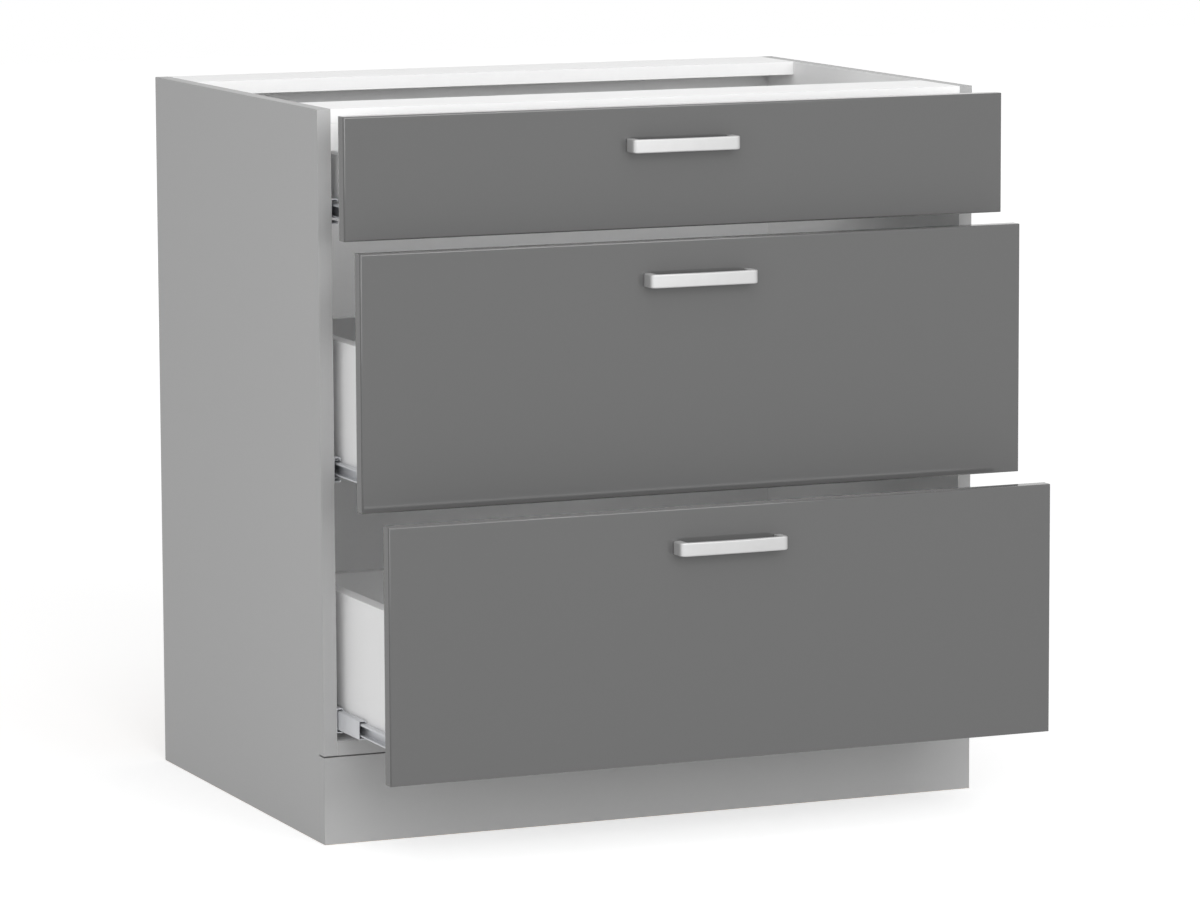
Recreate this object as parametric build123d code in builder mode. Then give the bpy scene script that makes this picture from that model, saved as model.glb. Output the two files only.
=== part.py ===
from build123d import *
from collections import namedtuple
from math import atan2, cos, sqrt
import os

os.makedirs("parts", exist_ok=True)

# Kitchen base cabinet with one low and two deep drawers on ball-bearing telescopic runners.
# Millimetres: X runs to the right, Y from front to back, Z up from the floor. The origin lies on
# the floor under the middle of the whole, with the three drawers standing open as they do at rest.

# ---- Carcass ----
width = 800.0
height = 820.0
depth = 552.0
board = 16.0
toe_height = 100.0  # floor to the underside of the bottom panel
plinth_gap = 1.5  # shadow line over the plinth
rail_depth = 100.0
apron_height = 30.0
back_thickness = 3.0
back_inset = 21.0  # free space behind the back panel
groove_depth = 8.0
groove_play = 0.2

# ---- Drawer fronts ----
front_thickness = 16.0
front_edge_radius = 2.0
side_reveal = 1.5
top_reveal = 3.0
bottom_reveal = 2.0
low_front_height = 136.0
gap_under_low = 9.0
gap_between_deep = 4.0
closing_gap = 2.0  # buffer between a closed front and the carcass

# ---- Drawer boxes ----
box_length = 350.0
box_board = 16.0
low_box_height = 70.0
deep_box_height = 150.0
base_thickness = 4.0
base_lift = 12.0  # lower edge of a box side to the underside of its base
low_box_lift = 17.0  # lower edge of a front to the lower edge of its box
centre_box_lift = 22.5
lower_box_lift = 28.0

# ---- Handles ----
handle_length = 130.0
handle_height = 15.0
handle_reach = 20.0  # front of the door to the front of the handle's corners
handle_bow = 2.5  # how much further the middle stands out
handle_strap = 5.0
handle_leg = 9.0
handle_corner = 5.0
handle_inner_corner = 3.0
handle_edge = 0.8  # chamfer round the outside
handle_from_top = 43.0
handle_thread_depth = 10.0

# ---- Runners, measured across the gap from the side panel, u, and up from their middle, v ----
runner_gap = 12.7
runner_length = box_length
runner_front = 2.0  # carcass front to the fixed member's end
runner_lift = 9.0  # lower edge of a box side to the middle of its runner
sheet = 1.0
slip = 0.3
bend = 0.8  # how far each fold in the sheet is cut across
ball_diameter = 2.4
ball_fit = 0.05
race_dent = 0.4
race_half_width = 1.3
drawer_member_height = 15.0
drawer_member_lip = 2.2
cabinet_member_depth = 8.4
middle_shortfall = 60.0  # how much shorter the middle member is
cage_sheet = 0.4
cage_length = 110.0
cage_bend = 0.3
pocket_play = 0.15
balls_in_row = 3
outer_cage_start = 85.0  # front end of the middle member to the cage, drawer closed
inner_cage_start = 90.0

# ---- Fasteners ----
fit = 0.05
round_sides = 6  # small pins and their holes repeat often, so they are cut with few sides
cam_sides = 10
ball_sides = 6
dowel_radius = 4.0
dowel_length = 34.0
dowel_in_face = 11.0  # how deep a dowel stands in the face of a board
plinth_dowel_radius = 3.0
rail_dowels_from_front = (24.0, 60.0)
bottom_dowels_from_end = 60.0
apron_dowel_pitch = 480.0
plinth_dowel_heights = (28.0, 70.0)
cam_radius = 7.5
cam_height = 12.5
cam_distance = 34.0  # end of a box side to the middle of its cam
cam_mouth = 4.0  # half the width of the mouth that takes the bolt
bolt_radius = 3.0
bolt_in_front = 11.0
runner_screw_ends = (35.0, 27.0)  # from the front and the rear end of a member
runner_screw_head = 3.2
runner_screw_shank = 1.9
runner_screw_length = 12.0
handle_screw_radius = 2.0
handle_screw_head = 4.0
handle_screw_head_height = 1.6
low_fixing_heights = (43.0,)  # over the lower edge of a box side
deep_fixing_heights = (45.0, 118.0)

# ---- How far the drawers stand open, and the middle members' set-back in the closed drawer ----
upper_opened = 60.0
centre_opened = 107.0
lower_opened = 186.0
loose_set_back = 62.0
lower_set_back = 30.0

# ---- Places that follow from the sizes ----
front_reach = lower_opened + closing_gap + front_thickness + handle_reach + handle_bow
y_front = (front_reach - depth) / 2  # front plane of the carcass
y_rear = y_front + depth
bay_half = width / 2 - board  # inner face of a side panel
rail_underside = height - board
bottom_top = toe_height + board
y_back_panel = y_rear - back_inset - back_thickness
box_half = bay_half - runner_gap  # outer face of a box side
deep_front_height = (
    height - top_reveal - toe_height - bottom_reveal
    - low_front_height - gap_under_low - gap_between_deep
) / 2
lower_front_low = toe_height + bottom_reveal
centre_front_low = lower_front_low + deep_front_height + gap_between_deep
upper_front_low = centre_front_low + deep_front_height + gap_under_low

Drawer = namedtuple(
    "Drawer", "name opened front_low front_height box_low box_height fixings set_back"
)
drawers = (
    Drawer("upper", upper_opened, upper_front_low, low_front_height,
           upper_front_low + low_box_lift, low_box_height, low_fixing_heights, loose_set_back),
    Drawer("centre", centre_opened, centre_front_low, deep_front_height,
           centre_front_low + centre_box_lift, deep_box_height, deep_fixing_heights, loose_set_back),
    Drawer("lower", lower_opened, lower_front_low, deep_front_height,
           lower_front_low + lower_box_lift, deep_box_height, deep_fixing_heights, lower_set_back),
)

# Runner section: half-heights v of the nested members and the depth u of what lies between them.
ball_radius = ball_diameter / 2
race_slope = atan2(race_dent, race_half_width)
ball_seat = (ball_radius + ball_fit + sheet / 2) / cos(race_slope) - race_dent - sheet / 2
drawer_arm = drawer_member_height / 2
inner_ball_v = drawer_arm + ball_seat
middle_arm = inner_ball_v + ball_radius + ball_fit + sheet
outer_ball_v = middle_arm + ball_seat
cabinet_arm = outer_ball_v + ball_radius + ball_fit + sheet
outer_cage_u = sheet + slip
middle_web_u = outer_cage_u + cage_sheet + slip
inner_cage_u = middle_web_u + sheet + slip
drawer_lip_u = inner_cage_u + cage_sheet + slip
middle_lip_u = runner_gap - sheet - 2 * slip
outer_ball_u = cabinet_member_depth - sheet - ball_fit - ball_radius
inner_ball_u = middle_lip_u - sheet - ball_fit - ball_radius

middle_length = runner_length - middle_shortfall
runner_screw_places = (runner_screw_ends[0], runner_length - runner_screw_ends[1])


def write(piece, node):
    """Names a finished piece and writes it."""
    piece.part.label = node
    export_step(piece.part, f"parts/{node}.step")


def block(low, high, mode=Mode.ADD):
    """A square-edged board, or a groove, between its lowest and highest corners."""
    with Locations(tuple((a + b) / 2 for a, b in zip(low, high))):
        Box(*(b - a for a, b in zip(low, high)), mode=mode)


def facing(start, direction):
    """The plane across a pin or a hole, turned alike from both ends."""
    return Plane(origin=start, x_dir=(0, 0, 1) if direction[1] else (0, 1, 0), z_dir=direction)


def rod(start, direction, radius, length, mode=Mode.ADD, sides=round_sides):
    """A pin, or a hole, from a point on a face."""
    with BuildSketch(facing(start, direction)) as section:
        RegularPolygon(radius, sides)
    extrude(section.sketch, amount=length, mode=mode)


def bore(start, direction, radius, length, sides=round_sides):
    """A hole that clears a pin all round and past its end."""
    rod(start, direction, radius + fit, length + fit, Mode.SUBTRACT, sides)


def sunk_head(start, direction, clear=0.0, mode=Mode.ADD):
    """The head of a runner screw, which tapers through the sheet to its shank."""
    head = facing(start, direction)
    with BuildSketch(head) as rim:
        RegularPolygon(runner_screw_head + clear, round_sides)
    with BuildSketch(head.offset(sheet)) as neck:
        RegularPolygon(runner_screw_shank + clear, round_sides)
    loft([rim.sketch.face(), neck.sketch.face()], ruled=True, mode=mode)


def dowels(*groups):
    """Dowels, each with its short end behind the face at which its spot lies."""
    with BuildPart() as pins:
        for radius, spots in groups:
            for start, direction in spots:
                rod(tuple(s - dowel_in_face * d for s, d in zip(start, direction)), direction,
                    radius, dowel_length)
    return pins


# ---- Where the pieces are pinned together ----
dowel_places = (
    *((y_front + from_front, height - board / 2) for from_front in rail_dowels_from_front),
    *((y_rear - rail_depth + from_front, height - board / 2) for from_front in rail_dowels_from_front),
    (y_front + bottom_dowels_from_end, toe_height + board / 2),
    (y_front + depth / 2, toe_height + board / 2),
    (y_rear - bottom_dowels_from_end, toe_height + board / 2),
    (y_front + board / 2, rail_underside - apron_height / 2),
)
front_rail_dowels, back_rail_dowels = dowel_places[:2], dowel_places[2:4]
bottom_dowels, apron_dowels = dowel_places[4:7], dowel_places[7:]
apron_dowel_xs = (-apron_dowel_pitch / 2, apron_dowel_pitch / 2)


def runner_middle(drawer):
    """Height of the middle of a drawer's runners."""
    return drawer.box_low + runner_lift


def back_face(drawer):
    """Y of the back face of a drawer's front, which is where its box begins."""
    return y_front - closing_gap - drawer.opened


def cabinet_screws(drawer):
    """Where the fixed members of a drawer's runners are screwed to the side panels."""
    return [
        ((side * (bay_half - sheet), y_front + runner_front + place, runner_middle(drawer)), (side, 0, 0))
        for side in (-1, 1) for place in runner_screw_places
    ]


def drawer_screws(drawer):
    """Where the drawer members are screwed to the box sides."""
    return [
        ((side * (box_half + sheet), back_face(drawer) + place, runner_middle(drawer)), (-side, 0, 0))
        for side in (-1, 1) for place in runner_screw_places
    ]


def on_side(spots, side):
    """Those of the spots that lie on one side of the cabinet."""
    return [(start, direction) for start, direction in spots if start[0] * side > 0]


def shank_hole(start, direction):
    """The hole in a board for a runner screw whose head is sunk in the sheet over it."""
    bore(tuple(s + sheet * d for s, d in zip(start, direction)), direction,
         runner_screw_shank, runner_screw_length - sheet)


def runner_screw(start, direction):
    """A countersunk screw, flush in the sheet."""
    sunk_head(start, direction)
    rod(tuple(s + sheet * d for s, d in zip(start, direction)), direction,
        runner_screw_shank, runner_screw_length - sheet)


# ---- Carcass boards ----
def side_panel(side):
    """A side panel that runs to the floor, notched for the plinth and grooved for the back."""
    inner = side * bay_half
    into = (side, 0, 0)
    groove = sorted((inner, inner + side * groove_depth))
    with BuildPart() as panel:
        with BuildSketch(Plane.YZ.offset(min(inner, inner + side * board))):
            with BuildLine():
                Polyline(
                    (y_front + board, 0), (y_rear, 0), (y_rear, height), (y_front, height),
                    (y_front, toe_height), (y_front + board, toe_height), close=True,
                )
            make_face()
        extrude(amount=board)
        block((groove[0], back_groove[0], 0), (groove[1], back_groove[1], height), Mode.SUBTRACT)
        for y, z in dowel_places:
            bore((inner, y, z), into, dowel_radius, dowel_in_face)
        for z in plinth_dowel_heights:
            bore((inner + side * board / 2, y_front + board, z), (0, 1, 0),
                 plinth_dowel_radius, dowel_length - dowel_in_face)
        for drawer in drawers:
            for start, direction in on_side(cabinet_screws(drawer), side):
                shank_hole(start, direction)
    return panel


def end_bores(places):
    """Dowel holes in both ends of a level board."""
    for side in (-1, 1):
        for y, z in places:
            bore((side * bay_half, y, z), (-side, 0, 0), dowel_radius, dowel_length - dowel_in_face)


back_groove = (y_back_panel, y_back_panel + back_thickness + groove_play)

write(side_panel(-1), "side_panel_left")
write(side_panel(1), "side_panel_right")

with BuildPart() as bottom_panel:
    block((-bay_half, y_front, toe_height), (bay_half, y_rear, bottom_top))
    block((-bay_half, back_groove[0], bottom_top - groove_depth),
          (bay_half, back_groove[1], bottom_top), Mode.SUBTRACT)
    end_bores(bottom_dowels)
write(bottom_panel, "bottom_panel")

with BuildPart() as front_rail:
    block((-bay_half, y_front, rail_underside), (bay_half, y_front + rail_depth, height))
    end_bores(front_rail_dowels)
    for x in apron_dowel_xs:
        bore((x, y_front + board / 2, rail_underside), (0, 0, 1), dowel_radius, dowel_in_face)
write(front_rail, "front_rail")

with BuildPart() as front_apron:
    block((-bay_half, y_front, rail_underside - apron_height), (bay_half, y_front + board, rail_underside))
    end_bores(apron_dowels)
    for x in apron_dowel_xs:
        bore((x, y_front + board / 2, rail_underside), (0, 0, -1), dowel_radius, dowel_length - dowel_in_face)
write(front_apron, "front_apron")

with BuildPart() as back_rail:
    block((-bay_half, y_rear - rail_depth, rail_underside), (bay_half, y_rear, height))
    block((-bay_half, back_groove[0], rail_underside),
          (bay_half, back_groove[1], rail_underside + groove_depth), Mode.SUBTRACT)
    end_bores(back_rail_dowels)
write(back_rail, "back_rail")

with BuildPart() as back_panel:
    edge = bay_half + groove_depth - groove_play
    block((-edge, y_back_panel, bottom_top - groove_depth),
          (edge, y_back_panel + back_thickness, rail_underside + groove_depth - groove_play))
write(back_panel, "back_panel")

plinth_dowels = [
    ((side * (bay_half + board / 2), y_front + board, z), (0, 1, 0))
    for side in (-1, 1) for z in plinth_dowel_heights
]
with BuildPart() as plinth:
    block((-width / 2, y_front, 0), (width / 2, y_front + board, toe_height - plinth_gap))
    for start, direction in plinth_dowels:
        bore(start, (0, -1, 0), plinth_dowel_radius, dowel_in_face)
write(plinth, "plinth")

carcass_dowels = [
    ((side * bay_half, y, z), (-side, 0, 0)) for side in (-1, 1) for y, z in dowel_places
] + [((x, y_front + board / 2, rail_underside), (0, 0, -1)) for x in apron_dowel_xs]
write(dowels((dowel_radius, carcass_dowels), (plinth_dowel_radius, plinth_dowels)), "carcass_dowels")

with BuildPart() as cabinet_runner_screws:
    for drawer in drawers:
        for start, direction in cabinet_screws(drawer):
            runner_screw(start, direction)
write(cabinet_runner_screws, "cabinet_runner_screws")


# ---- Runner members: one sheet, folded along a mid-line of u and v points ----
def folded(points, cut):
    """A mid-line whose inner corners are cut across, one flat for each fold."""
    line = [Vector(*point) for point in points]
    mid_line = [line[0]]
    for before, corner, after in zip(line, line[1:], line[2:]):
        mid_line += [corner + (before - corner).normalized() * cut, corner + (after - corner).normalized() * cut]
    return [(point.X, point.Y) for point in (*mid_line, line[-1])]


def race(u, v):
    """The dent of a ball race in an arm that runs towards the drawer at half-height v."""
    return [(u - race_half_width, v), (u, v - race_dent), (u + race_half_width, v)]


cabinet_arm_line = folded([
    (cabinet_member_depth - sheet / 2, middle_arm + slip),
    (cabinet_member_depth - sheet / 2, cabinet_arm - sheet / 2),
    (sheet / 2, cabinet_arm - sheet / 2),
    (sheet / 2, 0),
], bend)
middle_arm_line = folded([
    (middle_lip_u - sheet / 2, drawer_arm + slip),
    (middle_lip_u - sheet / 2, middle_arm - sheet / 2),
    (middle_web_u + sheet / 2, middle_arm - sheet / 2),
    (middle_web_u + sheet / 2, 0),
], bend)
middle_arm_line[3:3] = reversed(race(outer_ball_u, middle_arm - sheet / 2))
drawer_arm_line = folded([
    (drawer_lip_u + sheet / 2, drawer_arm - drawer_member_lip),
    (drawer_lip_u + sheet / 2, drawer_arm - sheet / 2),
    (runner_gap - sheet / 2, drawer_arm - sheet / 2),
    (runner_gap - sheet / 2, 0),
], bend)
drawer_arm_line[3:3] = race(inner_ball_u, drawer_arm - sheet / 2)


def bent_sheet(arm_line, thickness, side, middle, y_low, y_high):
    """A member on one side of the bay, from the mid-line of its upper half down to its middle."""
    section = [*arm_line[:-1], *((u, -v) for u, v in reversed(arm_line[:-1]))]
    points = [(side * (bay_half - u), middle + v) for u, v in section]
    with BuildPart() as member:
        with BuildSketch(Plane.XZ.offset(-y_high)):
            with BuildLine():
                Polyline(*points)
            trace(line_width=thickness)
        extrude(amount=y_high - y_low)
    return member


def cabinet_member(drawer, side):
    """The fixed member, screwed to the side panel."""
    y_low = y_front + runner_front
    with BuildPart() as member:
        add(bent_sheet(cabinet_arm_line, sheet, side, runner_middle(drawer), y_low, y_low + runner_length).part)
        for start, direction in on_side(cabinet_screws(drawer), side):
            sunk_head(start, direction, fit, Mode.SUBTRACT)
    return member


def drawer_member(drawer, side):
    """The member that is screwed to a box side and ends at the drawer's front."""
    y_low = back_face(drawer)
    with BuildPart() as member:
        add(bent_sheet(drawer_arm_line, sheet, side, runner_middle(drawer),
                       y_low + slip, y_low + runner_length).part)
        for start, direction in on_side(drawer_screws(drawer), side):
            sunk_head(start, direction, fit, Mode.SUBTRACT)
    return member


def middle_front(drawer):
    """Y of the front end of the middle members, which travel half as far as the drawer."""
    return y_front + drawer.set_back - drawer.opened / 2


def middle_members(drawer):
    """The pair of middle members between the fixed and the drawer members."""
    y_low = middle_front(drawer)
    with BuildPart() as pair:
        for side in (-1, 1):
            add(bent_sheet(middle_arm_line, sheet, side, runner_middle(drawer), y_low, y_low + middle_length).part)
    return pair


def ball_cages(drawer, cage_u, ball_u, ball_v, y_low):
    """A left and a right cage: a folded strip with a comb of pockets and a loose ball in each."""
    strip_line = folded([
        (ball_u + ball_radius - pocket_play, ball_v), (cage_u + cage_sheet / 2, ball_v), (cage_u + cage_sheet / 2, 0),
    ], cage_bend)
    pitch = cage_length / balls_in_row
    pocket = ball_radius + pocket_play
    pole = ball_radius / sqrt(2)
    middle = runner_middle(drawer)
    with BuildPart() as cages:
        for side in (-1, 1):
            add(bent_sheet(strip_line, cage_sheet, side, middle, y_low, y_low + cage_length).part)
            spots = [
                (side * (bay_half - ball_u), y_low + (n + 0.5) * pitch, middle + up * ball_v)
                for n in range(balls_in_row) for up in (-1, 1)
            ]
            with Locations(*spots):
                Box(2 * pocket, 2 * pocket, 4 * cage_sheet, mode=Mode.SUBTRACT)
            for spot in spots:
                for height_on_ball, radius in ((-pole, pole), (0, ball_radius), (pole, pole)):
                    with BuildSketch(Plane(origin=spot).offset(height_on_ball)):
                        RegularPolygon(radius, ball_sides)
                loft(ruled=True)
    return cages


# ---- Drawer pieces ----
handle_screw_xs = (-(handle_length - handle_leg) / 2, (handle_length - handle_leg) / 2)


def handle_middle(drawer):
    """Height of the middle of a drawer's handle."""
    return drawer.front_low + drawer.front_height - handle_from_top


def handle_screws(drawer):
    """Where the handle's screws start, at the back face of the front."""
    return [((x, back_face(drawer), handle_middle(drawer)), (0, -1, 0)) for x in handle_screw_xs]


def front_bolts(drawer):
    """Where the bolts of the cams stand, in the middle of the front ends of the box sides."""
    x = box_half - box_board / 2
    return [
        ((side * x, back_face(drawer), drawer.box_low + up), (0, 1, 0))
        for side in (-1, 1) for up in drawer.fixings
    ]


def corner_dowels(drawer):
    """Where the dowels of the rear corners stand, at the inner faces of the box sides."""
    y = back_face(drawer) + box_length - box_board / 2
    return [
        ((side * (box_half - box_board), y, drawer.box_low + up), (-side, 0, 0))
        for side in (-1, 1) for up in drawer.fixings
    ]


def base_groove(drawer):
    """Heights of the groove that holds the base."""
    low = drawer.box_low + base_lift
    return low, low + base_thickness + groove_play


def drawer_front(drawer):
    """A front with rounded face edges, grooved for the base and bored for bolts and handle."""
    back = back_face(drawer)
    half = width / 2 - side_reveal
    groove_half = box_half - box_board + groove_depth
    groove = base_groove(drawer)
    with BuildPart() as front:
        block((-half, back - front_thickness, drawer.front_low),
              (half, back, drawer.front_low + drawer.front_height))
        fillet(front.faces().sort_by(Axis.Y)[0].edges(), front_edge_radius)
        block((-groove_half, back - groove_depth, groove[0]), (groove_half, back, groove[1]), Mode.SUBTRACT)
        for start, direction in front_bolts(drawer):
            bore(start, (0, -1, 0), bolt_radius, bolt_in_front)
        for start, direction in handle_screws(drawer):
            bore(start, direction, handle_screw_radius, front_thickness)
    return front


def box_side(drawer, side):
    """A box side, grooved for the base, with seats for the cams and the screws."""
    back = back_face(drawer)
    inner = side * (box_half - box_board)
    xs = sorted((inner, side * box_half))
    groove_xs = sorted((inner, inner + side * groove_depth))
    groove = base_groove(drawer)
    with BuildPart() as board_side:
        block((xs[0], back, drawer.box_low), (xs[1], back + box_length, drawer.box_low + drawer.box_height))
        block((groove_xs[0], back, groove[0]), (groove_xs[1], back + box_length, groove[1]), Mode.SUBTRACT)
        for start, direction in on_side(front_bolts(drawer), side):
            bore(start, direction, bolt_radius, cam_distance)
            bore((inner, back + cam_distance, start[2]), (side, 0, 0), cam_radius, cam_height, cam_sides)
        for start, direction in on_side(corner_dowels(drawer), side):
            bore(start, (side, 0, 0), dowel_radius, dowel_in_face)
        for start, direction in on_side(drawer_screws(drawer), side):
            shank_hole(start, direction)
    return board_side


def box_back(drawer):
    """The back of a box, which stands on the base between the sides."""
    rear = back_face(drawer) + box_length
    low = drawer.box_low + base_lift + base_thickness
    with BuildPart() as board_back:
        block((-box_half + box_board, rear - box_board, low),
              (box_half - box_board, rear, drawer.box_low + drawer.box_height))
        for start, direction in corner_dowels(drawer):
            bore(start, direction, dowel_radius, dowel_length - dowel_in_face)
    return board_back


def box_base(drawer):
    """The base of a box, held in the grooves of its sides and its front."""
    back = back_face(drawer)
    half = box_half - box_board + groove_depth - groove_play
    low = drawer.box_low + base_lift
    with BuildPart() as base:
        block((-half, back - groove_depth + groove_play, low), (half, back + box_length, low + base_thickness))
    return base


def front_fittings(drawer):
    """The cams in the box sides and the bolts in the front, which hold the two together."""
    with BuildPart() as fittings:
        for (x, back, z), direction in front_bolts(drawer):
            side = 1 if x > 0 else -1
            inner = side * (box_half - box_board)
            rod((inner, back + cam_distance, z), (side, 0, 0), cam_radius, cam_height, sides=cam_sides)
            mouth = sorted((x - side * cam_mouth, inner + side * cam_height))
            block((mouth[0], back + cam_distance - cam_radius, z - cam_mouth),
                  (mouth[1], back + cam_distance + fit, z + cam_mouth), Mode.SUBTRACT)
        for (x, back, z), direction in front_bolts(drawer):
            rod((x, back - bolt_in_front, z), direction, bolt_radius, bolt_in_front + cam_distance)
    return fittings


def bow_outline(half, foot, corner_y, middle_y, corner):
    """A U in plan, with a slightly bowed middle and rounded corners; its feet end at foot."""
    with BuildSketch() as outline:
        with BuildLine():
            Line((-half, foot), (-half, corner_y))
            ThreePointArc((-half, corner_y), (0, middle_y), (half, corner_y))
            Line((half, corner_y), (half, foot))
            Line((half, foot), (-half, foot))
        make_face()
        fillet(outline.vertices().group_by(Axis.Y)[0], corner)
    return outline.sketch


def handle(drawer):
    """A bow handle: a flat bar, bent to two legs and a little curved along its length."""
    foot = back_face(drawer) - front_thickness
    half = handle_length / 2
    inner_half = half - handle_leg
    corner_y = foot - handle_reach
    inner_bow = handle_bow * (inner_half / half) ** 2
    middle_y = corner_y - handle_bow
    outer = bow_outline(half, foot, corner_y, middle_y, handle_corner)
    inner = bow_outline(inner_half, foot, middle_y + handle_strap + inner_bow, middle_y + handle_strap,
                        handle_inner_corner)
    underside = Plane.XY.offset(handle_middle(drawer) - handle_height / 2)
    with BuildPart() as bow:
        with BuildSketch(underside):
            add(outer)
        extrude(amount=handle_height)
        rims = bow.faces().filter_by(Axis.Z).edges().filter_by(lambda edge: edge.center().Y < foot - fit)
        chamfer(rims, handle_edge)
        with BuildSketch(underside):
            add(inner)
        extrude(amount=handle_height, mode=Mode.SUBTRACT)
        for (x, y, z), direction in handle_screws(drawer):
            bore((x, foot, z), direction, handle_screw_radius, handle_thread_depth)
    return bow


def screws_in_drawer(drawer):
    """The runner screws of a drawer, and the pan-head screws from behind its front into its handle."""
    with BuildPart() as screws:
        for start, direction in drawer_screws(drawer):
            runner_screw(start, direction)
        for start, direction in handle_screws(drawer):
            rod(start, direction, handle_screw_radius, front_thickness + handle_thread_depth)
            rod(start, (0, 1, 0), handle_screw_head, handle_screw_head_height)
    return screws


hands = {"left": -1, "right": 1}
for drawer in drawers:
    for hand, side in hands.items():
        write(cabinet_member(drawer, side), f"{drawer.name}_cabinet_runner_{hand}")
        write(drawer_member(drawer, side), f"{drawer.name}_drawer_runner_{hand}")
        write(box_side(drawer, side), f"{drawer.name}_drawer_side_{hand}")
    write(middle_members(drawer), f"{drawer.name}_middle_runners")
    outer_low = middle_front(drawer) + outer_cage_start + drawer.opened / 4
    write(ball_cages(drawer, outer_cage_u, outer_ball_u, outer_ball_v, outer_low),
          f"{drawer.name}_outer_cages")
    inner_low = middle_front(drawer) + inner_cage_start - drawer.opened / 4
    write(ball_cages(drawer, inner_cage_u, inner_ball_u, inner_ball_v, inner_low),
          f"{drawer.name}_inner_cages")
    write(drawer_front(drawer), f"{drawer.name}_drawer_front")
    write(box_back(drawer), f"{drawer.name}_drawer_back")
    write(box_base(drawer), f"{drawer.name}_drawer_base")
    write(front_fittings(drawer), f"{drawer.name}_front_fittings")
    write(dowels((dowel_radius, corner_dowels(drawer))), f"{drawer.name}_drawer_dowels")
    write(handle(drawer), f"{drawer.name}_handle")
    write(screws_in_drawer(drawer), f"{drawer.name}_drawer_screws")
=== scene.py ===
from math import cos, radians, sin

import bpy
import numpy as np
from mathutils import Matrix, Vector


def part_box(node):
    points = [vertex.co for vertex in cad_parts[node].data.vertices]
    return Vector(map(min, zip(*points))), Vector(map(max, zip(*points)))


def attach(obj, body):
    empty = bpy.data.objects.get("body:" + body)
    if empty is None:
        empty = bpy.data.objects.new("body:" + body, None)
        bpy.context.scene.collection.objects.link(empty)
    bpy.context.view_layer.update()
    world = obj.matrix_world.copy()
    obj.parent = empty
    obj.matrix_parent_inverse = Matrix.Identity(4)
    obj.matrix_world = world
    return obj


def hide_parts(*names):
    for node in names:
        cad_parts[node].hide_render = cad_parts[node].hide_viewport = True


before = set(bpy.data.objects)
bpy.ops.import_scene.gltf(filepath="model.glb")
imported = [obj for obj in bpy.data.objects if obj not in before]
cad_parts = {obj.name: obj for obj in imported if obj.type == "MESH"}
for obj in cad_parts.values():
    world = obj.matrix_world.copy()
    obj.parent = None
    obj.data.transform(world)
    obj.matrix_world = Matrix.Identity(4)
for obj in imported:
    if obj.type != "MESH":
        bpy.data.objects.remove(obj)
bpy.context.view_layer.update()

# Metres, in the frame of the CAD: X to the right, Y to the back, Z up from the floor.
DRAWERS = ("upper", "centre", "lower")
HANDS = {"left": -1, "right": 1}
carcass_low, carcass_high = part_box("side_panel_left")
y_front, y_rear = carcass_low.y, carcass_high.y
bay_half = -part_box("front_rail")[0].x  # inner face of a side panel
back_low, back_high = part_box("back_panel")

# ---- Colours, as linear shares of red, green and blue ----
GREY_BOARD = (0.395, 0.395, 0.395)
WHITE_BOARD = (0.88, 0.88, 0.88)
CHIP_CORE = (0.48, 0.35, 0.21)
FRONT_GREY = (0.098, 0.098, 0.098)
# Painted shade: a darker colour for the side edges of the drawer fronts.
EDGE_PAINTED_SHADE = (0.060, 0.060, 0.060)
RAW_FIBRE = (0.33, 0.21, 0.12)
ZINC_PLATE = (0.66, 0.67, 0.69)
DIE_CAST = (0.45, 0.45, 0.47)
SATIN_METAL = (0.48, 0.48, 0.48)
BALL_STEEL = (0.70, 0.71, 0.72)
BEECH = (0.60, 0.41, 0.25)
BUFFER_CLEAR = (0.75, 0.76, 0.76)


class Value:
    """A number or colour that varies over a surface; arithmetic on it adds Math nodes."""

    def __init__(self, nodes, socket):
        self.nodes, self.socket = nodes, socket

    def _math(self, operation, *operands):
        return self.nodes.node("ShaderNodeMath", enumerate(operands), operation=operation)

    def __add__(self, other):
        return self._math("ADD", self, other)

    def __mul__(self, other):
        return self._math("MULTIPLY", self, other)

    def __or__(self, other):
        return self._math("MAXIMUM", self, other)

    def __abs__(self):
        return self._math("ABSOLUTE", self)

    def __lt__(self, other):
        return self._math("LESS_THAN", self, other)

    def __gt__(self, other):
        return self._math("GREATER_THAN", self, other)

    __radd__ = __add__
    __rmul__ = __mul__


class Nodes:
    """A node tree under construction."""

    def __init__(self, tree):
        self.tree = tree
        tree.nodes.clear()

    def node(self, kind, inputs=(), output=0, **settings):
        """Adds a node: its settings first, then a value or a link for each socket, by name or number."""
        node = self.tree.nodes.new(kind)
        for name, value in settings.items():
            setattr(node, name, value)
        for name, value in dict(inputs).items():
            socket = node.inputs[name]
            if isinstance(value, Value):
                self.tree.links.new(value.socket, socket)
            else:
                socket.default_value = (*value, 1) if socket.type == "RGBA" else value
        return Value(self, node.outputs[output]) if node.outputs else None

    def mix(self, factor, first, second):
        """The first colour where the factor is 0, the second where it is 1."""
        return self.node("ShaderNodeMix", {0: factor, 6: first, 7: second}, 2, data_type="RGBA")

    def ray(self, kind):
        """1 on the rays of one kind: those from the camera, off gloss or through glass."""
        return self.node("ShaderNodeLightPath", output=f"Is {kind} Ray")


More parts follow.
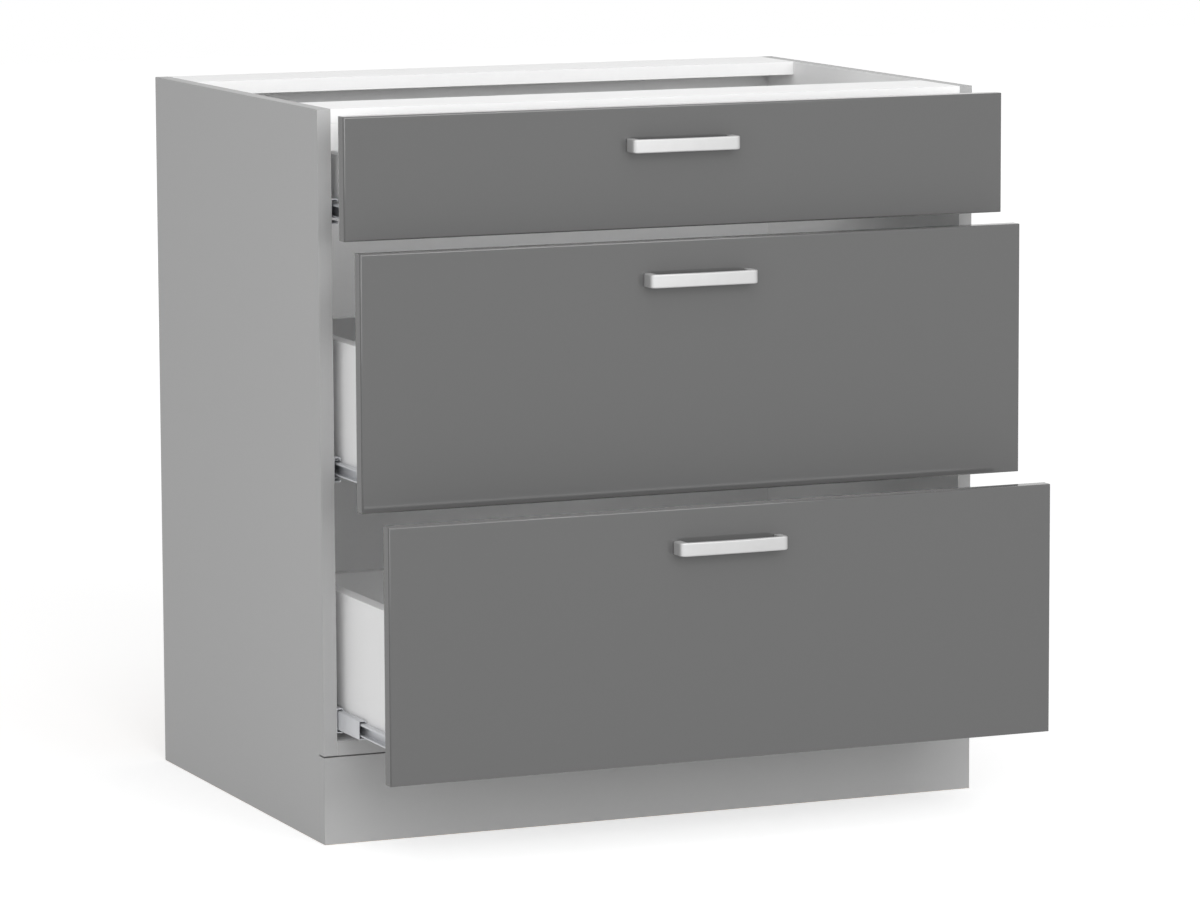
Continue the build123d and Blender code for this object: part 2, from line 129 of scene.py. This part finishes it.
class Finish(Nodes):
    """A material under construction, whose patterns lie on Object coordinates."""

    def __init__(self, name):
        self.material = bpy.data.materials.new(name)
        self.material.use_nodes = True
        super().__init__(self.material.node_tree)
        self.place = self.node("ShaderNodeTexCoord", output="Object")

    def along(self, axis):
        """The coordinate along X, Y or Z, in metres."""
        return self.node("ShaderNodeSeparateXYZ", {0: self.place}, axis)

    def noise(self, size, detail=2.0, stretch=(1, 1, 1)):
        """Soft noise between 0 and 1 whose spots are about the given size in metres."""
        scale = tuple(s / size for s in stretch)
        spots = self.node("ShaderNodeMapping", {"Vector": self.place, "Scale": scale})
        return self.node("ShaderNodeTexNoise", {"Vector": spots, "Scale": 1.0, "Detail": detail})

    def tinted(self, colour, spread, size):
        """The colour, a little darker and lighter in soft spots."""
        low = tuple(c * (1 - spread) for c in colour)
        high = tuple(c * (1 + spread) for c in colour)
        return self.mix(self.noise(size), low, high)

    def bump(self, depth, height):
        """A normal from a height between 0 and 1 over the given depth in metres."""
        return self.node("ShaderNodeBump", {"Strength": 1.0, "Distance": depth, "Height": height})

    def shade(self, inputs):
        """Ends the tree in a Principled BSDF with these inputs and returns the material."""
        shader = self.node("ShaderNodeBsdfPrincipled", inputs)
        self.node("ShaderNodeOutputMaterial", {"Surface": shader})
        return self.material


# ---- Finishes ----
SKIN = 0.0003  # how far behind a face its colour still reaches


def laminated_board(name, colour, second=None, is_second=None, is_raw=None):
    """Laminated chipboard with a fine pearl grain; some faces may have a second colour or a bare core."""
    finish = Finish(name)
    face = finish.tinted(colour, 0.012, 0.004)
    if second:
        face = finish.mix(is_second(finish), face, finish.tinted(second, 0.012, 0.004))
    grain = finish.noise(0.0009, 3.0)
    rough = 0.42 + 0.12 * grain
    normal = finish.bump(0.00004, grain)
    if is_raw:
        chips = finish.noise(0.0035, 6.0, (1, 1, 2.5))
        core = finish.mix(chips, tuple(c * 0.55 for c in CHIP_CORE), tuple(c * 1.35 for c in CHIP_CORE))
        raw = is_raw(finish)
        face = finish.mix(raw, face, core)
        rough = rough + 0.35 * raw
    return finish.shade({
        "Base Color": face, "Roughness": rough, "Specular IOR Level": 0.38, "Normal": normal,
    })


def lacquered_front(name, colour, edge, is_painted_shade_edge):
    """Smooth grey lacquer with a faint orange-peel skin, and painted shade on its side edges: they are
    coloured darker.
    """
    finish = Finish(name)
    peel = finish.noise(0.006, 1.0)
    return finish.shade({
        "Base Color": finish.mix(is_painted_shade_edge(finish), finish.tinted(colour, 0.015, 0.003), edge),
        "Roughness": 0.07 + 0.03 * peel, "Normal": finish.bump(0.000004, peel),
    })


def fibreboard(name, face, raw, is_raw):
    """Thin fibreboard: one white-painted face, and raw brown fibre on the other."""
    finish = Finish(name)
    fibre = finish.noise(0.0012, 6.0)
    cloud = finish.noise(0.05, 3.0)
    brown = finish.mix(0.6 * fibre + 0.4 * cloud, tuple(c * 0.7 for c in raw), tuple(c * 1.3 for c in raw))
    return finish.shade({
        "Base Color": finish.mix(is_raw(finish), finish.tinted(face, 0.015, 0.005), brown),
        "Roughness": 0.5 + 0.3 * fibre, "Normal": finish.bump(0.00006, fibre),
    })


def metal(name, colour, rough, drawn=(1, 1, 1), cloudy=0.08, marked=0.00001, bare=1.0):
    """Bare or plated metal, a little cloudy, with fine marks along the direction in which it was drawn."""
    finish = Finish(name)
    cloud = finish.noise(0.012, 3.0)
    marks = finish.noise(0.0012, 2.0, drawn)
    return finish.shade({
        "Base Color": finish.mix(cloud, tuple(c * (1 - cloudy) for c in colour), colour), "Metallic": bare,
        "Roughness": rough + 0.1 * cloud + 0.08 * marks, "Normal": finish.bump(marked, marks),
    })


def beech_wood(name, colour):
    """Pale wood with grain along X."""
    finish = Finish(name)
    grain = finish.noise(0.002, 4.0, (0.1, 1, 1))
    return finish.shade({
        "Base Color": finish.mix(grain, tuple(c * 0.8 for c in colour), colour),
        "Roughness": 0.6 + 0.1 * grain, "Normal": finish.bump(0.00008, grain),
    })


def soft_plastic(name, colour):
    """Milky soft plastic with a faint moulded skin."""
    finish = Finish(name)
    skin = finish.noise(0.0008, 2.0)
    return finish.shade({
        "Base Color": finish.tinted(colour, 0.02, 0.002), "Roughness": 0.35 + 0.1 * skin,
        "Normal": finish.bump(0.00001, skin),
    })


def paint(material, *nodes):
    """Gives CAD nodes this material in place of their own."""
    for node in nodes:
        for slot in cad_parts[node].material_slots:
            slot.material = material


side_board = laminated_board(
    "side_board", GREY_BOARD, WHITE_BOARD, lambda finish: abs(finish.along("X")) < bay_half + SKIN,
    lambda finish: (finish.along("Y") > y_rear - SKIN) | (finish.along("Z") < SKIN),
)
bottom_board = laminated_board(
    "bottom_board", WHITE_BOARD, GREY_BOARD, lambda finish: finish.along("Y") < y_front + SKIN,
    lambda finish: finish.along("Y") > y_rear - SKIN,
)
rear_board = laminated_board(
    "rear_board", WHITE_BOARD, is_raw=lambda finish: finish.along("Y") > y_rear - SKIN,
)
white_board = laminated_board("white_board", WHITE_BOARD)
plinth_board = laminated_board(
    "plinth_board", GREY_BOARD, is_raw=lambda finish: finish.along("Z") < SKIN,
)
front_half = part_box("upper_drawer_front")[1].x
# The side edges of the fronts take painted shade, a darker colour than the faces.
front_lacquer = lacquered_front(
    "front_lacquer", FRONT_GREY, EDGE_PAINTED_SHADE, lambda finish: abs(finish.along("X")) > front_half - SKIN,
)
runner_steel = metal("runner_steel", ZINC_PLATE, 0.4, (1, 0.05, 1), bare=0.45)
screw_steel = metal("screw_steel", ZINC_PLATE, 0.35, bare=0.85)
ball_steel = metal("ball_steel", BALL_STEEL, 0.1, cloudy=0.03, marked=0.000001)
cam_zinc = metal("cam_zinc", DIE_CAST, 0.4)
handle_metal = metal("handle_metal", SATIN_METAL, 0.35, (0.05, 1, 1), bare=0.4)
dowel_wood = beech_wood("dowel_beech", BEECH)
buffer_plastic = soft_plastic("buffer_plastic", BUFFER_CLEAR)

paint(side_board, "side_panel_left", "side_panel_right")
paint(bottom_board, "bottom_panel")
paint(rear_board, "back_rail")
paint(white_board, "front_rail", "front_apron")
paint(plinth_board, "plinth")
paint(dowel_wood, "carcass_dowels")
paint(screw_steel, "cabinet_runner_screws")
back_middle = (back_low.y + back_high.y) / 2
paint(
    fibreboard("back_board", WHITE_BOARD, RAW_FIBRE, lambda finish: finish.along("Y") > back_middle),
    "back_panel",
)
for drawer in DRAWERS:
    paint(white_board, f"{drawer}_drawer_base")
    paint(front_lacquer, f"{drawer}_drawer_front")
    paint(handle_metal, f"{drawer}_handle")
    paint(white_board, *(f"{drawer}_drawer_{part}" for part in ("side_left", "side_right", "back")))
    for hand in HANDS:
        paint(runner_steel, f"{drawer}_cabinet_runner_{hand}", f"{drawer}_drawer_runner_{hand}")
    paint(runner_steel, f"{drawer}_middle_runners", f"{drawer}_outer_cages", f"{drawer}_inner_cages")
    paint(screw_steel, f"{drawer}_drawer_screws")
    paint(cam_zinc, f"{drawer}_front_fittings")
    paint(dowel_wood, f"{drawer}_drawer_dowels")


# ---- Edges of the boards ----
SAME_CORNER = 0.00001  # corners nearer than this are one


def ease_edges(width, *nodes):
    """Takes the sharpness off a board's edges, as its edge bands do."""
    for node in nodes:
        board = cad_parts[node]
        weld = board.modifiers.new("joined_faces", "WELD")
        weld.merge_threshold = SAME_CORNER
        bevel = board.modifiers.new("eased_edges", "BEVEL")
        bevel.width = width
        bevel.limit_method = "ANGLE"
        bevel.angle_limit = 1.0
        bevel.harden_normals = True


EASED = 0.0004
ease_edges(
    EASED, "side_panel_left", "side_panel_right", "bottom_panel",
    "front_rail", "front_apron", "back_rail", "plinth",
)
for drawer in DRAWERS:
    ease_edges(EASED, *(f"{drawer}_drawer_{part}" for part in ("front", "side_left", "side_right", "back")))


# ---- New pieces: surfaces of two parameters ----
def surface(name, patches, body, material):
    """One piece from patches of points, each an array of rows by columns by X, Y, Z.

    The columns of a patch close on themselves, so each patch is a tube; a closed end is a row of one
    and the same point. Rows run so that the faces between row and next row point outwards.
    """
    points, faces, start = [], [], 0
    for patch in patches:
        rows, columns, _ = patch.shape
        corner = np.arange(rows * columns).reshape(rows, columns) + start
        after = np.roll(corner, -1, axis=1)
        quads = np.stack([corner[:-1], after[:-1], after[1:], corner[1:]], axis=-1)
        points.append(patch.reshape(-1, 3))
        faces.append(quads.reshape(-1, 4))
        start += rows * columns
    mesh = bpy.data.meshes.new(name)
    mesh.from_pydata(np.concatenate(points).tolist(), [], np.concatenate(faces).tolist())
    mesh.polygons.foreach_set("use_smooth", np.ones(len(mesh.polygons), bool))
    mesh.materials.append(material)
    piece = bpy.data.objects.new(name, mesh)
    bpy.context.scene.collection.objects.link(piece)
    weld = piece.modifiers.new("closed_poles", "WELD")
    weld.merge_threshold = 0.000001
    piece.modifiers.new("even_flats", "WEIGHTED_NORMAL")
    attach(piece, body)
    return piece


def closed_ends(patch):
    """The patch with one more row at each end, all of it at the middle of that end."""
    first, last = (patch[end].mean(axis=0) * np.ones_like(patch[end]) for end in (0, -1))
    return np.concatenate([first[None], patch, last[None]])


# Handles: a bar of two outlines in plan, joined by a rounded section.
LEG = 0.009
STRAP = 0.005
BOW = 0.0025
HANDLE_STEPS = 97
OUTER_CORNER = 0.011  # over what length the corners of the outlines are averaged
INNER_CORNER = 0.004
LEG_POINTS = 60
BOW_POINTS = 400
FINE_POINTS = 4001
OUTER_ROUND = 0.0016  # radius of the section's corners on the outside
INNER_ROUND = 0.0005


def bow_line(half, foot, front, middle, rounding):
    """A U in plan with its feet at foot: straight legs and a parabola between them.

    It is sampled evenly along its length and averaged over a short stretch, which rounds its corners;
    it starts that stretch behind the foot, so that the feet themselves stay where they are.
    """
    legs = np.linspace(foot + rounding, front, LEG_POINTS)
    xs = np.linspace(-half, half, BOW_POINTS)
    bow = middle + (front - middle) * (xs / half) ** 2
    edge = np.full(LEG_POINTS, half)
    line = np.concatenate([
        np.stack([-edge, legs], 1), np.stack([xs, bow], 1), np.stack([edge, legs[::-1]], 1),
    ])
    length = np.concatenate([[0], np.cumsum(np.linalg.norm(np.diff(line, axis=0), axis=1))])
    fine = np.linspace(0, length[-1], FINE_POINTS)
    even = np.stack([np.interp(fine, length, line[:, axis]) for axis in (0, 1)], 1)
    span = int(rounding / fine[1]) | 1
    kernel = np.ones(span) / span
    smooth = np.stack([np.convolve(even[:, axis], kernel, "valid") for axis in (0, 1)], 1)
    inside = smooth[smooth[:, 1] <= foot]
    chosen = np.linspace(0, len(inside) - 1, HANDLE_STEPS).round().astype(int)
    return inside[chosen]


def rounded_section(height, outer, inner):
    """The section of the bar as columns: which outline, how far in from it, and the height.

    Each corner is a quarter circle: going round, the inset is r - r cos a and the height is
    h/2 - r + r sin a.
    """
    quarter = np.linspace(0, np.pi / 2, 5)
    outer_inset, outer_up = outer * (1 - np.cos(quarter)), height / 2 - outer + outer * np.sin(quarter)
    inner_inset, inner_up = inner * (1 - np.cos(quarter)), height / 2 - inner + inner * np.sin(quarter)
    side = np.repeat([0, 1, 1, 0], 5)
    inset = np.concatenate([outer_inset, -inner_inset[::-1], -inner_inset, outer_inset[::-1]])
    up = np.concatenate([outer_up, inner_up[::-1], -inner_up, -outer_up[::-1]])
    return side, inset, up


def handle(drawer):
    """A bowed bar handle: at each step along it, the section lies between the outer and the inner outline."""
    low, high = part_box(f"{drawer}_handle")
    half, foot, front = high.x, high.y, low.y + BOW
    outer = bow_line(half, foot, front, low.y, OUTER_CORNER)
    inner_half = half - LEG
    inner_front = low.y + STRAP + BOW * (inner_half / half) ** 2
    inner = bow_line(inner_half, foot, inner_front, low.y + STRAP, INNER_CORNER)
    across = inner - outer
    across /= np.linalg.norm(across, axis=1, keepdims=True)
    side, inset, up = rounded_section(high.z - low.z, OUTER_ROUND, INNER_ROUND)
    outline = np.where(side[None, :, None] == 0, outer[:, None], inner[:, None])
    plan = outline + across[:, None] * inset[None, :, None]
    heights = np.broadcast_to((low.z + high.z) / 2 + up, plan.shape[:2])
    bar = np.concatenate([plan, heights[..., None]], axis=-1)
    patches = [closed_ends(bar)[::-1]]
    piece = surface(f"{drawer}_bow_handle", patches, f"{drawer}_drawer", handle_metal)
    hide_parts(f"{drawer}_handle")


# ---- Turned pieces: screws, cams, balls and buffers ----
DOME = 0.0009  # a head's rows count as its top down to this depth below its middle


def turned(start, direction, profile, recess=None, columns=32):
    """A tube from the middle of a head to the middle of its far end, round an axis from start.

    Each row is a circle with the radius and the depth of a point of the profile; a recess sinks the
    rows by its own depth at each place across the head.
    """
    axis = np.array(direction, float)
    first = np.array((0, 0, 1.0))
    second = np.cross(axis, first)
    radius, depth = (np.array(part)[:, None] for part in zip(*profile))
    turn = np.arange(columns) / columns * 2 * np.pi
    across, up = radius * np.cos(turn), radius * np.sin(turn)
    along = depth + (recess(across, up) * (depth <= profile[0][1] + DOME) if recess else 0 * turn)
    return np.array(start) + across[..., None] * first + up[..., None] * second + along[..., None] * axis


def cross_recess(half_width, arm, depth):
    """The depth of a cross recess: full within half_width of an arm's line, then a short slope out."""
    slope = half_width * 0.5

    def sunk(across, up):
        near, far = np.minimum(abs(across), abs(up)), np.maximum(abs(across), abs(up))
        within = np.clip((half_width - near) / slope + 1, 0, 1) * np.clip((arm - far) / slope + 1, 0, 1)
        return depth * within

    return sunk


def head(radius, crown, edge, rows=14):
    """The top of a round head: its depth rises as the square of the radius, from -crown to -edge."""
    share = np.linspace(0, 1, rows)
    return [(radius * s, -crown + (crown - edge) * s * s) for s in share]


RUNNER_HEAD = head(0.0033, 0.0002, 0.00006) + [
    (0.0034, 0), (0.0027, 0), (0.0016, 0.001), (0.0016, 0.0105), (0.0003, 0.0119), (0, 0.0119),
]
HANDLE_SCREW = head(0.0037, 0.0016, 0.0011) + [
    (0.0040, -0.0007), (0.0040, 0), (0.0017, 0), (0.0017, 0.025), (0, 0.025),
]
SCREW_CROSS = cross_recess(0.00045, 0.0019, 0.0011)
SCREWS_FROM_FRONT = 0.035
SCREWS_FROM_REAR = 0.027
SHEET = 0.001


def runner_screws(runner, side, face, inward):
    """The two screws of a member on one side, whose heads lie in the face of its sheet."""
    low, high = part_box(runner)
    height = (low.z + high.z) / 2
    return [
        turned((side * face, y, height), (side * inward, 0, 0), RUNNER_HEAD, SCREW_CROSS)
        for y in (low.y + SCREWS_FROM_FRONT, high.y - SCREWS_FROM_REAR)
    ]


def cabinet_screws():
    """The screws that hold the fixed members to the side panels."""
    patches = [
        patch for drawer in DRAWERS for hand, side in HANDS.items()
        for patch in runner_screws(f"{drawer}_cabinet_runner_{hand}", side, bay_half - SHEET, 1)
    ]
    piece = surface("cabinet_cross_head_screws", patches, "carcass", screw_steel)
    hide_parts("cabinet_runner_screws")


def drawer_screws(drawer):
    """The screws of the drawer members, and the pan heads that hold the handle from behind the front."""
    box_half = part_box(f"{drawer}_drawer_side_right")[1].x
    patches = [
        patch for hand, side in HANDS.items()
        for patch in runner_screws(f"{drawer}_drawer_runner_{hand}", side, box_half + SHEET, -1)
    ]
    handle_low, handle_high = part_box(f"{drawer}_handle")
    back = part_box(f"{drawer}_drawer_front")[1].y
    spread, height = handle_high.x - LEG / 2, (handle_low.z + handle_high.z) / 2
    patches += [
        turned((side * spread, back, height), (0, -1, 0), HANDLE_SCREW, SCREW_CROSS)
        for side in HANDS.values()
    ]
    piece = surface(f"{drawer}_cross_head_screws", patches, f"{drawer}_drawer", screw_steel)
    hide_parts(f"{drawer}_drawer_screws")


CAM_HEIGHTS = {"upper": (0.043,), "centre": (0.045, 0.118), "lower": (0.045, 0.118)}
CAM_DISTANCE = 0.034
CAM_BODY = 0.0071
CAM_TO_BOLT = 0.0002
BOLT_IN_FRONT = 0.011
BOLT_RADIUS = 0.0025
BOLT_END = CAM_DISTANCE - CAM_BODY - CAM_TO_BOLT
CAM = head(0.0079, 0.0004, 0.0004, 26) + [
    (0.0081, -0.0002), (0.0081, 0), (CAM_BODY, 0), (CAM_BODY, 0.0124), (0, 0.0124),
]
BOLT = [
    (0, -BOLT_IN_FRONT), (BOLT_RADIUS, -BOLT_IN_FRONT), (BOLT_RADIUS, 0),
    (BOLT_RADIUS, BOLT_END), (0, BOLT_END),
]
CAM_CROSS = cross_recess(0.0009, 0.0036, 0.003)


def cam_fittings(drawer):
    """The cams, each with a thin rim on the inner face of a box side, and the bolts that they pull."""
    patches = []
    for hand, side in HANDS.items():
        low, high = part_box(f"{drawer}_drawer_side_{hand}")
        inner = min(abs(low.x), abs(high.x))
        middle = side * (abs(low.x) + abs(high.x)) / 2
        for up in CAM_HEIGHTS[drawer]:
            height = low.z + up
            cam_middle = (side * inner, low.y + CAM_DISTANCE, height)
            patches.append(turned(cam_middle, (side, 0, 0), CAM, CAM_CROSS, 40))
            patches.append(turned((middle, low.y, height), (0, 1, 0), BOLT, columns=20))
    piece = surface(f"{drawer}_cams_and_bolts", patches, f"{drawer}_drawer", cam_zinc)
    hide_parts(f"{drawer}_front_fittings")


BALL_RADIUS = 0.0012
BALLS_IN_ROW = 3
CAGE_LENGTH = 0.110
BALL_DEPTH = {"outer": 0.00615, "inner": 0.00885}  # from the side panel to the middle of the balls


def balls(drawer, cage):
    """The smooth steel balls in a pair of cages, over the faceted ones: circles whose radius is a sine."""
    low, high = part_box(f"{drawer}_{cage}_cages")
    middle, reach = (low.z + high.z) / 2, (high.z - low.z) / 2 - BALL_RADIUS / np.sqrt(2)
    turn = np.linspace(0, np.pi, 11)
    ball = list(zip(BALL_RADIUS * np.sin(turn), -BALL_RADIUS * np.cos(turn)))
    first = (low.y + high.y - CAGE_LENGTH) / 2
    patches = [
        turned((side * (bay_half - BALL_DEPTH[cage]), first + (n + 0.5) * CAGE_LENGTH / BALLS_IN_ROW,
                middle + up * reach), (side, 0, 0), ball, columns=16)
        for side in HANDS.values() for n in range(BALLS_IN_ROW) for up in (-1, 1)
    ]
    surface(f"{drawer}_{cage}_balls", patches, f"{drawer}_{cage}_balls", ball_steel)


BUFFER = head(0.0036, 0.0015, 0.0012) + [(0.0040, -0.0009), (0.0040, 0), (0, 0)]
BUFFER_FROM_END = 0.012


def buffers(drawer):
    """Four soft buffers on the back of a front, facing the edges of the side panels."""
    low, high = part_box(f"{drawer}_drawer_front")
    across = (bay_half + high.x) / 2
    patches = [
        turned((side * across, high.y, height), (0, -1, 0), BUFFER)
        for side in HANDS.values() for height in (low.z + BUFFER_FROM_END, high.z - BUFFER_FROM_END)
    ]
    surface(f"{drawer}_front_buffers", patches, f"{drawer}_drawer", buffer_plastic)


cabinet_screws()
for drawer in DRAWERS:
    handle(drawer)
    drawer_screws(drawer)
    cam_fittings(drawer)
    balls(drawer, "outer")
    balls(drawer, "inner")
    buffers(drawer)


# ---- Floor, light and camera ----
SURROUND = 0.49
FLOOR_ALBEDO = 0.8
NEAR_GLOW = 0.45
FAR_GLOW = 0.66


def studio_world(strength):
    """An even pale surround, which looks white."""
    world = bpy.data.worlds.new("studio")
    bpy.context.scene.world = world
    world.use_nodes = True
    nodes = Nodes(world.node_tree)
    seen = nodes.ray("Camera") | nodes.ray("Glossy") | nodes.ray("Transmission")
    colour = nodes.mix(seen, (strength,) * 3, (1, 1, 1))
    nodes.node("ShaderNodeOutputWorld", {"Surface": nodes.node("ShaderNodeBackground", {"Color": colour})})


def floor(half, albedo, near_glow, far_glow):
    """A wide pale floor that looks white except in the object's shadow, and white in every reflection.

    Its glow rises with the distance from the object, where the lamps reach it less.
    """
    mesh = bpy.data.meshes.new("floor")
    corners = [(-half, -half, 0), (half, -half, 0), (half, half, 0), (-half, half, 0)]
    mesh.from_pydata(corners, [], [(0, 1, 2, 3)])
    ground = bpy.data.objects.new("floor", mesh)
    bpy.context.scene.collection.objects.link(ground)
    finish = Finish("floor_white")
    looked_at, reflected = finish.ray("Camera"), finish.ray("Glossy") | finish.ray("Transmission")
    away = finish.node("ShaderNodeVectorMath", {0: finish.place}, 1, operation="LENGTH")
    far = finish.node("ShaderNodeMapRange", {"Value": away, "From Min": 1.0, "From Max": 5.0})
    glow = finish.mix(far, (near_glow,) * 3, (far_glow,) * 3)
    mesh.materials.append(finish.shade({
        "Base Color": finish.mix(reflected, (albedo,) * 3, (0, 0, 0)),
        "Roughness": 0.9, "Specular IOR Level": 0.0,
        "Emission Color": finish.mix(reflected, finish.mix(looked_at, (0, 0, 0), glow), (1, 1, 1)),
        "Emission Strength": 1.0,
    }))


def softbox(name, azimuth, elevation, power, distance=4.5, size=2.4):
    """A large square lamp that faces the object, at an azimuth to the right of its front, in degrees."""
    lamp = bpy.data.lights.new(name, "AREA")
    lamp.shape, lamp.size, lamp.energy = "SQUARE", size, power
    box = bpy.data.objects.new(name, lamp)
    across, up = radians(azimuth), radians(elevation)
    away = Vector((sin(across) * cos(up), -cos(across) * cos(up), sin(up)))
    box.location = Vector(AIM) + distance * away
    box.rotation_euler = away.to_track_quat("Z", "Y").to_euler()
    bpy.context.scene.collection.objects.link(box)


studio_world(SURROUND)
floor(12.0, FLOOR_ALBEDO, NEAR_GLOW, FAR_GLOW)
AIM = (0, y_front, 0.42)
softbox("left_softbox", -50, 10, 26)
softbox("front_softbox", -8, 12, 36)
softbox("right_softbox", 15, 20, 74)
softbox("high_softbox", -25, 30, 32)
softbox("steep_softbox", -30, 55, 21)
softbox("overhead_softbox", 45, 80, 19, 3.3)

camera = bpy.data.objects.new("camera", bpy.data.cameras.new("camera"))
camera.location = (-2.572927, y_front - 5.921226, 1.307507)
camera.rotation_euler = (1.434377, 0.004380, -0.401164)
camera.data.sensor_width = 36
camera.data.lens = 36 * 5769.125 / 1200
camera.data.clip_end = 100
bpy.context.scene.collection.objects.link(camera)
bpy.context.scene.camera = camera

bpy.context.scene.view_settings.view_transform = "Standard"
